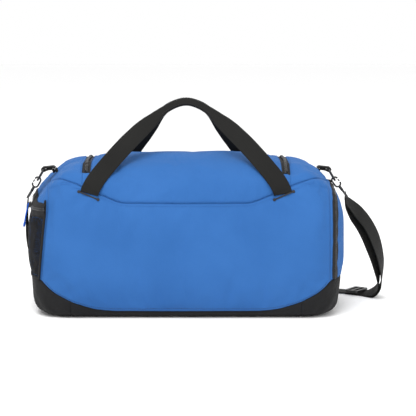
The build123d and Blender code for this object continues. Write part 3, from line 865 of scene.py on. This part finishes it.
def sink(p):
    """How far the cloth is drawn in beside each seam."""

    def gap_to(f, where):
        return np.where(where, np.abs(f(p)), FAR_OFF)

    high = above_base(p)
    yoke = gap_to(f_yoke, high & (f_left(p) > -1) & (f_right(p) > -1))
    to_zip = gap_to(f_zip, on_top(p))
    return np.maximum.reduce([
        groove(yoke, 2.0, 1.3) + groove(yoke, 0.9, 6.0),
        groove(gap_to(f_left, high), 1.5, 1.6),
        groove(gap_to(f_right, high), 1.5, 1.6),
        groove(np.abs(f_base(p)), 1.5, 1.5),
        groove(np.maximum(to_zip - ZIP_HALF, 0), 1.3, 1.6) * (to_zip < FAR_OFF),
        groove(gap_to(f_leg, below_leg(p)), 0.8, 1.1),
        groove(gap_to(f_boot, in_base(p)), 0.9, 1.2),
    ])


lowered = places - normals * sink(places)[:, None]
lowered[:, 2] = np.maximum(lowered[:, 2], 0.15)


def region(p):
    """The name of the cloth panel at a point of the skin."""
    p = np.array([p])
    x, y, _ = p[0]
    hand = "left" if x < 0 else "right"
    if f_base(p)[0] < 0:
        return "base_panel" if f_boot(p)[0] < 0 else hand + "_boot"
    if f_left(p)[0] < 0:
        return "left_end_panel"
    if f_right(p)[0] < 0:
        return "right_end_panel"
    if f_yoke(p)[0] < 0:
        return "front_panel" if y < 0 else "back_panel"
    if y < FOLD_Y:
        return "top_panel" if f_leg(p)[0] < 0 else hand + "_yoke"
    gap = f_zip(p)[0]
    if gap < -ZIP_HALF:
        return "top_panel"
    if gap < 0:
        return "lid_tape"
    if gap < ZIP_HALF:
        return "body_tape"
    return hand + "_yoke" if f_leg(p)[0] > 0 else "rear_yoke"


panels = {}
for face in body.faces:
    corners = [v.index for v in face.verts]
    panels.setdefault(region(places[corners].mean(axis=0)), []).append(corners)


def panel_piece(name, faces, outer, thick):
    """One cloth panel, its thickness turned inwards, lined."""
    used = sorted({i for f in faces for i in f})
    renumber = {old: new for new, old in enumerate(used)}
    obj = make_mesh(name, lowered[used], [[renumber[i] for i in f] for f in faces], [outer, LINING])
    solid = obj.modifiers.new("thickness", "SOLIDIFY")
    solid.thickness = thick * MM
    solid.offset = -1.0
    solid.material_offset = 1
    solid.material_offset_rim = 0
    return obj


PANEL_GROUPS = [
    (BLACK, "black_fabric", 2.0, ["base_panel", "left_boot", "right_boot"]),
    (BLUE, "blue_fabric", 2.0, [
        "front_panel", "back_panel", "left_end_panel", "right_end_panel",
        "left_yoke", "right_yoke", "rear_yoke", "top_panel",
    ]),
    (TAPE, "zipper_tape", 1.4, ["body_tape", "lid_tape"]),
]
# the CAD nodes of the panels that don't stand for one node of their own name
STANDS_FOR = {
    "right_end_panel": ["right_end_panel", "end_pocket_liner"],
    "top_panel": ["front_yoke", "lid_panel"],
    "body_tape": ["body_zipper_tape"],
    "lid_tape": ["lid_zipper_tape"],
}
for finish, slot, thick, names in PANEL_GROUPS:
    for name in names:
        piece = panel_piece(name + "_cloth", panels[name], finish, thick)
        if name == "top_panel":
            final = applied(piece)
            piece.modifiers.clear()
            piece.data = final
            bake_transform(piece)
        else:
            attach(piece, "lid" if name == "lid_tape" else "bag")
        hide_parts(*STANDS_FOR.get(name, [name]))

# ---- things laid on the skin


def on_skin(point, lift=0.0):
    """The nearest place on the skin in millimetres, lifted along its smoothed normal, and that normal."""
    place, _, index, _ = tree.find_nearest(Vector(point))
    corners = [v.index for v in body.faces[index].verts]
    weights = np.array([1 / (0.3 + np.linalg.norm(places[i] - np.array(place))) for i in corners])
    normal = (normals[corners] * weights[:, None]).sum(0)
    normal /= np.linalg.norm(normal)
    return np.array(place) + normal * lift, normal


def resample(points, step):
    """Evenly spaced points on a broken line."""
    points = np.asarray(points, float)
    lengths = distances(points)
    count = max(int(lengths[-1] / step), 2)
    at = np.linspace(0, lengths[-1], count + 1)
    return np.stack([np.interp(at, lengths, points[:, k]) for k in range(3)], axis=1)


def at_place(height, place):
    """A height in millimetres, given as a number or as a rule of the place."""
    return height(place) if callable(height) else height


def lay(points, step=3.0, lift=0.0):
    """A broken line dropped on the skin: places and normals."""
    rough = resample(points, step)
    pairs = [on_skin(p, at_place(lift, p)) for p in rough]
    return np.array([a for a, _ in pairs]), np.array([b for _, b in pairs])


def grid_faces(rows, columns):
    """The quads of a grid of points that was numbered row by row."""
    wide = columns + 1
    starts = [i * wide + j for i in range(rows) for j in range(columns)]
    return [(a, a + 1, a + wide + 1, a + wide) for a in starts]


def strip(name, points, width, lift, material, columns=4, crown=0.9, thick=0.9):
    """A flat strip sewn on the skin along a line, with UVs in metres."""
    line, normal = lay(points)
    across = np.cross(directions(line), normal)
    lengths = distances(line)
    verts, uvs = [], []
    for i in range(len(line)):
        for s in (np.arange(columns + 1) / columns - 0.5) * width:
            rise = lift + at_place(crown, line[i]) * (1 - (2 * s / width) ** 2)
            place, _ = on_skin(line[i] + across[i] * s, rise)
            verts.append(place)
            uvs.append((s * MM, lengths[i] * MM))
    obj = make_mesh(name, verts, grid_faces(len(line) - 1, columns), [material], uvs=uvs)
    solid = obj.modifiers.new("thickness", "SOLIDIFY")
    solid.thickness = thick * MM
    middle = len(line) // 2
    faces_out = np.dot(obj.data.polygons[middle * columns].normal, normal[middle]) > 0
    solid.offset = -1.0 if faces_out else 1.0
    return obj


STITCH_PITCH = 3.2
STITCH_LENGTH = 2.2
STITCH_LIFT = 0.15


def stitches(name, lines, radius=0.28, material=BLUE_THREAD):
    """Rows of thread: short round stitches along lines on the skin."""
    verts, faces = [], []
    sides = 5
    for points in lines:
        line, normal = lay(points, STITCH_PITCH, STITCH_LIFT)
        for place, out, along in zip(line, normal, directions(line)):
            side = np.cross(along, out)
            faces += tube_faces(len(verts), 4, sides)
            for share, size in ((-0.5, 0.35), (-0.2, 1.0), (0.2, 1.0), (0.5, 0.35)):
                for k in range(sides):
                    angle = 2 * math.pi * k / sides
                    spoke = (side * math.cos(angle) + out * math.sin(angle)) * radius * size
                    verts.append(place + along * share * STITCH_LENGTH + spoke)
    return make_mesh(name, verts, faces, [material])


COIL_PITCH = 1.7
# one tooth from root to tip: how far across the coil, how high, and half its length in pitches
TOOTH = [(-0.35, 0.35, 0.30), (0.15, 1.25, 0.36), (1.4, 1.1, 0.36), (2.6, 0.1, 0.26)]


def coil(name, points, side, lift=0.3):
    """One side's row of zipper teeth along a line on the skin; side is +1 or -1 across it."""
    line, normal = lay(points, COIL_PITCH, lift)
    verts, faces = [], []
    for place, out, along in zip(line, normal, directions(line)):
        across = np.cross(along, out) * side
        centre = place + along * (0.25 * side * COIL_PITCH)
        faces += tube_faces(len(verts), len(TOOTH), 4)
        for reach, height, share in TOOTH:
            for da, dh in ((-1, -0.45), (1, -0.45), (1, 0.35), (-1, 0.35)):
                verts.append(centre + across * reach + along * da * share * COIL_PITCH + out * (height + dh))
    return make_mesh(name, verts, faces, [NYLON], smooth=False)


# ---- main zipper

def corner_arc(x, y, radius, start):
    """A quarter turn clockwise above the lid, without its first point."""
    angles = [start - k * math.pi / 16 for k in range(1, 9)]
    return [(x + radius * math.cos(a), y + radius * math.sin(a), 246) for a in angles]


def zip_line(inset, y_start=FOLD_Y + 1.0):
    """The U of the main zipper, moved inwards by the inset."""
    half, back_y, corner = ZIP_X - inset, ZIP_Y - inset, ZIP_CORNER - inset
    inner_x, inner_y = half - corner, back_y - corner
    points = [(-half, y_start, 240), (-half, inner_y, 248)]
    points += corner_arc(-inner_x, inner_y, corner, math.pi)
    points += [(-inner_x, back_y, 244), (inner_x, back_y, 244)]
    points += corner_arc(inner_x, inner_y, corner, math.pi / 2)
    return points + [(half, inner_y, 248), (half, y_start, 240)]


finish_piece(coil("body_coil", zip_line(0.3, FOLD_Y + 6.0), -1), "bag", "zipper_teeth", "body_zipper_teeth")
finish_piece(coil("lid_coil", zip_line(0.3), 1), "lid", "zipper_teeth", "lid_zipper_teeth")
for name, side, rides in (("lid_tape_stitching", 1, "lid"), ("body_tape_stitching", -1, "bag")):
    rows = zip_line(side * (ZIP_HALF + 2.6))
    finish_piece(stitches(name, [rows]), rides, "blue_fabric")

# ---- topstitching


def seam_row(side, reach, seam_x, seam_z, rise):
    """A row beside a seam of the front wall, side -1, or the back wall, side 1."""
    return [(x, side * 112, eased(abs(x), seam_x, seam_z) + rise) for x in np.linspace(-reach, reach, 120)]


yoke_rows = [seam_row(side, 214, YOKE_X, YOKE_Z, rise) for side in (-1, 1) for rise in (-3.6, 3.6)]
base_rows = [seam_row(side, 232, BASE_X, BASE_Z, 3.2) for side in (-1, 1)]
finish_piece(stitches("yoke_stitching", yoke_rows, radius=0.22), "bag", "blue_fabric")
finish_piece(stitches("base_stitching", base_rows, material=THREAD), "bag", "black_thread")

# ---- end pockets

# the left end as seen from above: a straight middle and two quarter circles
CORNER_X = 211.0
CORNER_Y = 61.5
CORNER_R = 55.0
MESH_REACH = 140.0


def left_round(z):
    """Points round the left end at a height, as far as its panel's seams."""
    points = []
    for s in np.linspace(-MESH_REACH, MESH_REACH, 140):
        beyond = max(abs(s) - CORNER_Y, 0)
        angle = min(beyond / CORNER_R, math.pi / 2)
        x = CORNER_X + CORNER_R * math.cos(angle) - (beyond - angle * CORNER_R)
        y = math.copysign(CORNER_Y + CORNER_R * math.sin(angle), s) if beyond else s
        points.append((-x, y, z))
    return [p for p in points if f_left(np.array([on_skin(p)[0]]))[0] < -1.0]


def seen_from_front(x, z, side=-1):
    """The skin's point straight behind a place in front of the bag, or behind it for side 1."""
    return tuple(tree.ray_cast(Vector((x, side * 400, z)), Vector((0, -side, 0)))[0])


NET_LOW, NET_HIGH = 67, 172
NET_ROWS, NET_COLUMNS = 26, 90


def pocket_net():
    """The mesh that covers the left end panel from seam to seam, lying a little off it."""
    verts, uvs = [], []
    for i in range(NET_ROWS + 1):
        z = NET_LOW + (NET_HIGH - NET_LOW) * i / NET_ROWS
        row = np.array(left_round(z))
        at = distances(row)
        for s in np.linspace(0, at[-1], NET_COLUMNS + 1):
            point = [np.interp(s, at, row[:, k]) for k in range(3)]
            free = math.sin(math.pi * i / NET_ROWS) * math.sin(math.pi * s / at[-1])
            place, _ = on_skin(point, 0.25 + 0.75 * min(i, NET_ROWS - i, 4) / 4 + free)
            verts.append(place)
            uvs.append(((s - at[-1] / 2) * MM, z * MM))
    faces = [(a, d, c, b) for a, b, c, d in grid_faces(NET_ROWS, NET_COLUMNS)]
    obj = make_mesh("mesh_pocket_net", verts, faces, [NET], uvs=uvs)
    obj.modifiers.new("thickness", "SOLIDIFY").thickness = 0.5 * MM
    return obj


mesh_cover = pocket_net()
finish_piece(mesh_cover, "bag", "black_mesh", "mesh_pocket")
net_length = distances(left_round(120.0))[-1] * MM

MESH_ZIP_Z = 185.5
MESH_ZIP_HALF = 12.0


def mesh_zip_crown(place):
    """The band's rise under its slider, less where the end itself bulges out."""
    return 5.0 - 2.8 * float(ease(place[1], -50, -12))


band = strip("mesh_zip_band", left_round(MESH_ZIP_Z), 2 * MESH_ZIP_HALF, 1.0, TAPE, 8, mesh_zip_crown)
finish_piece(band, "bag", "zipper_tape", "mesh_zipper_tape")
for name, side in (("mesh_coil_upper", 1), ("mesh_coil_lower", -1)):
    teeth = coil(name, left_round(MESH_ZIP_Z - 0.5), side, lift=lambda place: mesh_zip_crown(place) + 0.2)
    finish_piece(teeth, "bag", "zipper_teeth")
for name, z in (("mesh_zip_fold_low", MESH_ZIP_Z - 12.5), ("mesh_zip_fold_high", MESH_ZIP_Z + 12.0)):
    finish_piece(strip(name, left_round(z), 6.0, 1.4, BLACK), "bag", "black_fabric")
for name, side in (("mesh_binding_front", -1), ("mesh_binding_rear", 1)):
    heights = np.linspace(66, 194, 40)
    edge = [seen_from_front(-float(np.interp(z, LEFT_Z, LEFT_X)) - 2.4, z, side) for z in heights]
    finish_piece(strip(name, edge, 4.6, 1.9, BLACK, thick=2.0), "bag", "black_fabric")
finish_piece(strip("mesh_binding_low", left_round(67.0), 5.0, 1.0, BLACK), "bag", "black_fabric")

END_ZIP_X = 245.0
END_ZIP_REAR_X = 241.8


def end_zip_crown(place):
    """The rear leg stands up under its slider, more the higher it is."""
    return 0.6 + 5.0 * float(ease(place[2], 138, 190)) * (place[1] > 60)


leg_front = [seen_from_front(END_ZIP_X, z) for z in np.linspace(67, 200, 40)]
turn_front = [seen_from_front(END_ZIP_X + 0.5, 206), seen_from_front(END_ZIP_X + 0.5, 210)]
run_top = [(252.0, y, 213.0) for y in np.linspace(-50, 50, 30)]
end_zip = leg_front + turn_front + run_top + [(x, -y, z) for x, y, z in reversed(turn_front)]
end_zip += [seen_from_front(END_ZIP_REAR_X, z, 1) for z in np.linspace(200, 67, 40)]
band = strip("end_zip_band", end_zip, 14.0, 0.6, TAPE, 8, end_zip_crown)
finish_piece(band, "bag", "zipper_tape", "end_zipper_tape")
for name, side in (("end_coil_inner", 1), ("end_coil_outer", -1)):
    teeth = coil(name, end_zip, side, lift=lambda place: end_zip_crown(place) + 0.1)
    finish_piece(teeth, "bag", "zipper_teeth")

# ---- carry handles

HANDLE_LEAN = math.radians(32.8)
ROOT_Y = 115.0
ROOT_Z = 206.0
# the handles' middle lines in their leaning planes, from a root to the top: x, and the way up the plane
FRONT_RISE = [
    (160, 1), (157, 9), (146.5, 31), (130, 54), (111, 79), (91, 103),
    (68, 128), (56, 139), (44, 152), (26, 166), (0, 175.5),
]
REAR_RISE = [
    (129, 1), (126, 9), (114, 31), (101, 53), (87, 78), (74, 98),
    (60, 120), (50, 136), (40, 150), (24, 165), (0, 174),
]
GRIP_HALF = 45.0
GRIP_X = [0, 20, 35, 44, 52, 60, 75, 95]
GRIP_WIDTHS = [11, 11.5, 13, 15.5, 20.5, 25.5, 29.5, 31]
GRIP_THICK = 7.2
FLAT_THICK = 2.2
HANDLE_STEP = 2.0
ROOT_TRIM = 3.5
BAR_SLOPE = math.tan(math.radians(24.0))
BAR_HALF = 15.5
TACK_SIDES = 14


def handle_space(side, x, t, out=0.0):
    """A point of the handle's leaning plane; out is towards the outside of the bag."""
    up = np.array([0, -side * math.sin(HANDLE_LEAN), math.cos(HANDLE_LEAN)])
    face = np.array([0, side * math.cos(HANDLE_LEAN), math.sin(HANDLE_LEAN)])
    return np.array([x, side * ROOT_Y, ROOT_Z]) + up * t + face * out


def grip_thread(name, line, face, thicks):
    """Two rows of thread along each side of the folded grip."""
    normal, across = frames_along(line, face)
    verts, faces = [], []
    for i in range(0, len(line), 2):
        if abs(line[i, 0]) >= GRIP_HALF - 3:
            continue
        along = line[i + 1] - line[i]
        along /= np.linalg.norm(along)
        for offset in (-4.6, 4.6):
            for top in (-1, 1):
                place = line[i] + across[i] * offset + normal[i] * top * thicks[i] * 0.49
                faces += tube_faces(len(verts), 2, 4)
                for share in (-0.5, 0.5):
                    for k in range(4):
                        spoke = across[i] * math.cos(math.pi * k / 2) + normal[i] * math.sin(math.pi * k / 2)
                        verts.append(place + along * share * 2.6 + spoke * 0.35)
    finish_piece(make_mesh(name + "_grip_thread", verts, faces, [THREAD]), name, "black_thread")


def stitched_bar(name, side, end, root_x):
    """The dense stitched bar under one end of a handle, with a round tack at both its ends."""
    side_name = name + ("_left" if end < 0 else "_right")
    shifts = (-BAR_HALF, BAR_HALF)
    ends = [(end * (root_x + 2.0) + d, side * 112, ROOT_Z + 1.0 + end * d * BAR_SLOPE) for d in shifts]
    (first, first_out), (last, last_out) = (on_skin(spot, 0.5) for spot in ends)
    share = np.linspace(0, 1, 14)[:, None]
    face = first_out * (1 - share) + last_out * share
    line = first * (1 - share) + last * share + face * (0.9 * np.sin(np.pi * share))
    bar = sweep(side_name + "_tack", line, face, 2.4, 1.6, THREAD, power=3, count=12)
    finish_piece(bar, "bag", "black_thread", name + "_tacks")
    dots, dot_faces = [], []
    for spot in ends:
        centre, out = on_skin(spot, 0.3)
        u = np.array(Vector(out).orthogonal().normalized())
        v = np.cross(out, u)
        dot_faces += tube_faces(len(dots), 3, TACK_SIDES, open_start=True)
        for size, height in ((2.6, 0.0), (2.3, 0.9), (1.2, 1.3)):
            for k in range(TACK_SIDES):
                a = 2 * math.pi * k / TACK_SIDES
                dots.append(centre + (u * math.cos(a) + v * math.sin(a)) * size + out * height)
    finish_piece(make_mesh(side_name + "_bartack", dots, dot_faces, [THREAD]), "bag", "black_thread")


def carry_handle(name, side, rise):
    """A handle's webbing, flat at its roots and folded to a grip at the top, with its stitching."""
    controls = rise + [(-x, t) for x, t in reversed(rise[:-1])]
    control_points = [tuple(handle_space(side, x, t) * MM) for x, t in controls]
    line = resample(spline_points(name + "_line", control_points) / MM, HANDLE_STEP)
    along = np.arange(len(line))
    from_root = np.minimum(along, along[::-1]) * HANDLE_STEP
    keep = from_root >= ROOT_TRIM
    line, from_root = line[keep], from_root[keep]
    reach = np.abs(line[:, 0])
    widths = np.interp(reach, GRIP_X, GRIP_WIDTHS)
    thicks = GRIP_THICK + ease(reach, GRIP_HALF - 3.0, GRIP_HALF + 17.0) * (FLAT_THICK - GRIP_THICK)
    # the last stretch at each root lies down on the skin, where it is sewn
    sewn = 1 - ease(from_root, ROOT_TRIM, ROOT_TRIM + 24)
    for i in np.nonzero(sewn > 0)[0]:
        line[i] += (on_skin(line[i], 0.9)[0] - line[i]) * sewn[i]
    face = np.broadcast_to(handle_space(side, 0, 0, 1) - handle_space(side, 0, 0), line.shape)
    web = sweep(name + "_webbing", line, face, widths, thicks, WEB, power=6, count=20)
    finish_piece(web, name, "black_webbing", name)
    grip_thread(name, line, face, thicks)
    for end in (-1, 1):
        stitched_bar(name, side, end, rise[1][0])


carry_handle("front_handle", -1, FRONT_RISE)
carry_handle("rear_handle", 1, REAR_RISE)

# ---- tabs at the ends

# the tab goes from its sewn root over the top, round the D-ring's bar and back under itself
RING_BAR = (241.0, 236.5)
TAB_TURN = 3.0
TAB_TOP = [(218.5, 232.5), (220.5, 238.0), (225.0, 241.2), (236.0, 239.8)]
TAB_UNDER = [(233.0, 236.6), (226.0, 237.4), (223.0, 231.0)]
TAB_WRAP = [
    (RING_BAR[0] + TAB_TURN * math.cos(math.radians(a)), RING_BAR[1] + TAB_TURN * math.sin(math.radians(a)))
    for a in range(75, -136, -35)
]
for side, name in ((-1, "left"), (1, "right")):
    line = resample([(side * x, 0, z) for x, z in TAB_TOP + TAB_WRAP + TAB_UNDER], 1.5)
    ahead = np.gradient(line, axis=0)
    out = np.stack([ahead[:, 2] * side, np.zeros(len(line)), ahead[:, 0] * side], axis=1)
    tab = sweep(name + "_tab_webbing", line, out, 20.0, 2.9, WEB, power=8)
    finish_piece(tab, "bag", "black_webbing", name + "_ring_tab")

# ---- cord pulls


HINGES = [joint for joint in frame["record"]["behaviour"]["joints"] if joint["type"] == "hinge"]
HINGE_AT = {joint["child"]: np.array(joint["pos_m"]) / MM for joint in HINGES}
CORD_SPREAD = 1.9


def cord_pull(name, down, out, length):
    """A doubled cord through the slider's arch, gathered by a black nub, with a thicker end."""
    axis = HINGE_AT[name]
    down, out = np.array(down, float), np.array(out, float)
    down /= np.linalg.norm(down)
    side = np.cross(down, out)
    side /= np.linalg.norm(side)
    run = length - 8

    def leg(hand, shares):
        return [
            axis + side * hand * CORD_SPREAD * (1 - 0.25 * s) + down * run * s + out * 0.5 * math.sin(3 * s)
            for s in shares
        ]

    def bar(part, start, steps, width, thick, material):
        spots = np.array([axis + down * (start + s) for s in steps])
        face = np.broadcast_to(out, spots.shape)
        piece = sweep(name + part, spots, face, width, thick, material, power=3, count=14)
        finish_piece(piece, name, "blue_cord")

    turn = np.linspace(0, np.pi, 9)
    arch = [axis - down * math.sin(a) * 1.5 + side * CORD_SPREAD * math.cos(a) for a in turn]
    line = np.array(leg(1, np.linspace(1, 0.08, 12)) + arch + leg(-1, np.linspace(0.08, 1, 12)))
    cord = sweep(name + "_cord", line, np.broadcast_to(out, line.shape), 2.5, 2.5, CORD, power=2, count=10)
    finish_piece(cord, name, "blue_cord", name)
    end_width = 5.4 * np.sin(np.linspace(0.5, math.pi - 0.35, 10)) ** 0.5
    bar("_end", run - 2.0, np.linspace(0, 9.0, 10), end_width, end_width * 0.72, CORD)
    bar("_nub", 5.0, np.linspace(0, 4.0, 6), 5.6, 3.6, PLASTIC)


tilt, lean, bearing = (math.radians(angle) for angle in (27.0, 12.0, 56.4))
for name in ("left_main_pull", "right_main_pull"):
    cord_pull(name, (0, math.cos(tilt), -math.sin(tilt)), (0, math.sin(tilt), math.cos(tilt)), 30)
cord_pull("mesh_pull", (-math.sin(lean), 0, -math.cos(lean)), (-math.cos(lean), 0, math.sin(lean)), 40)
cord_pull("end_pull", (0, 0, -1), (math.cos(bearing), math.sin(bearing), 0), 30)
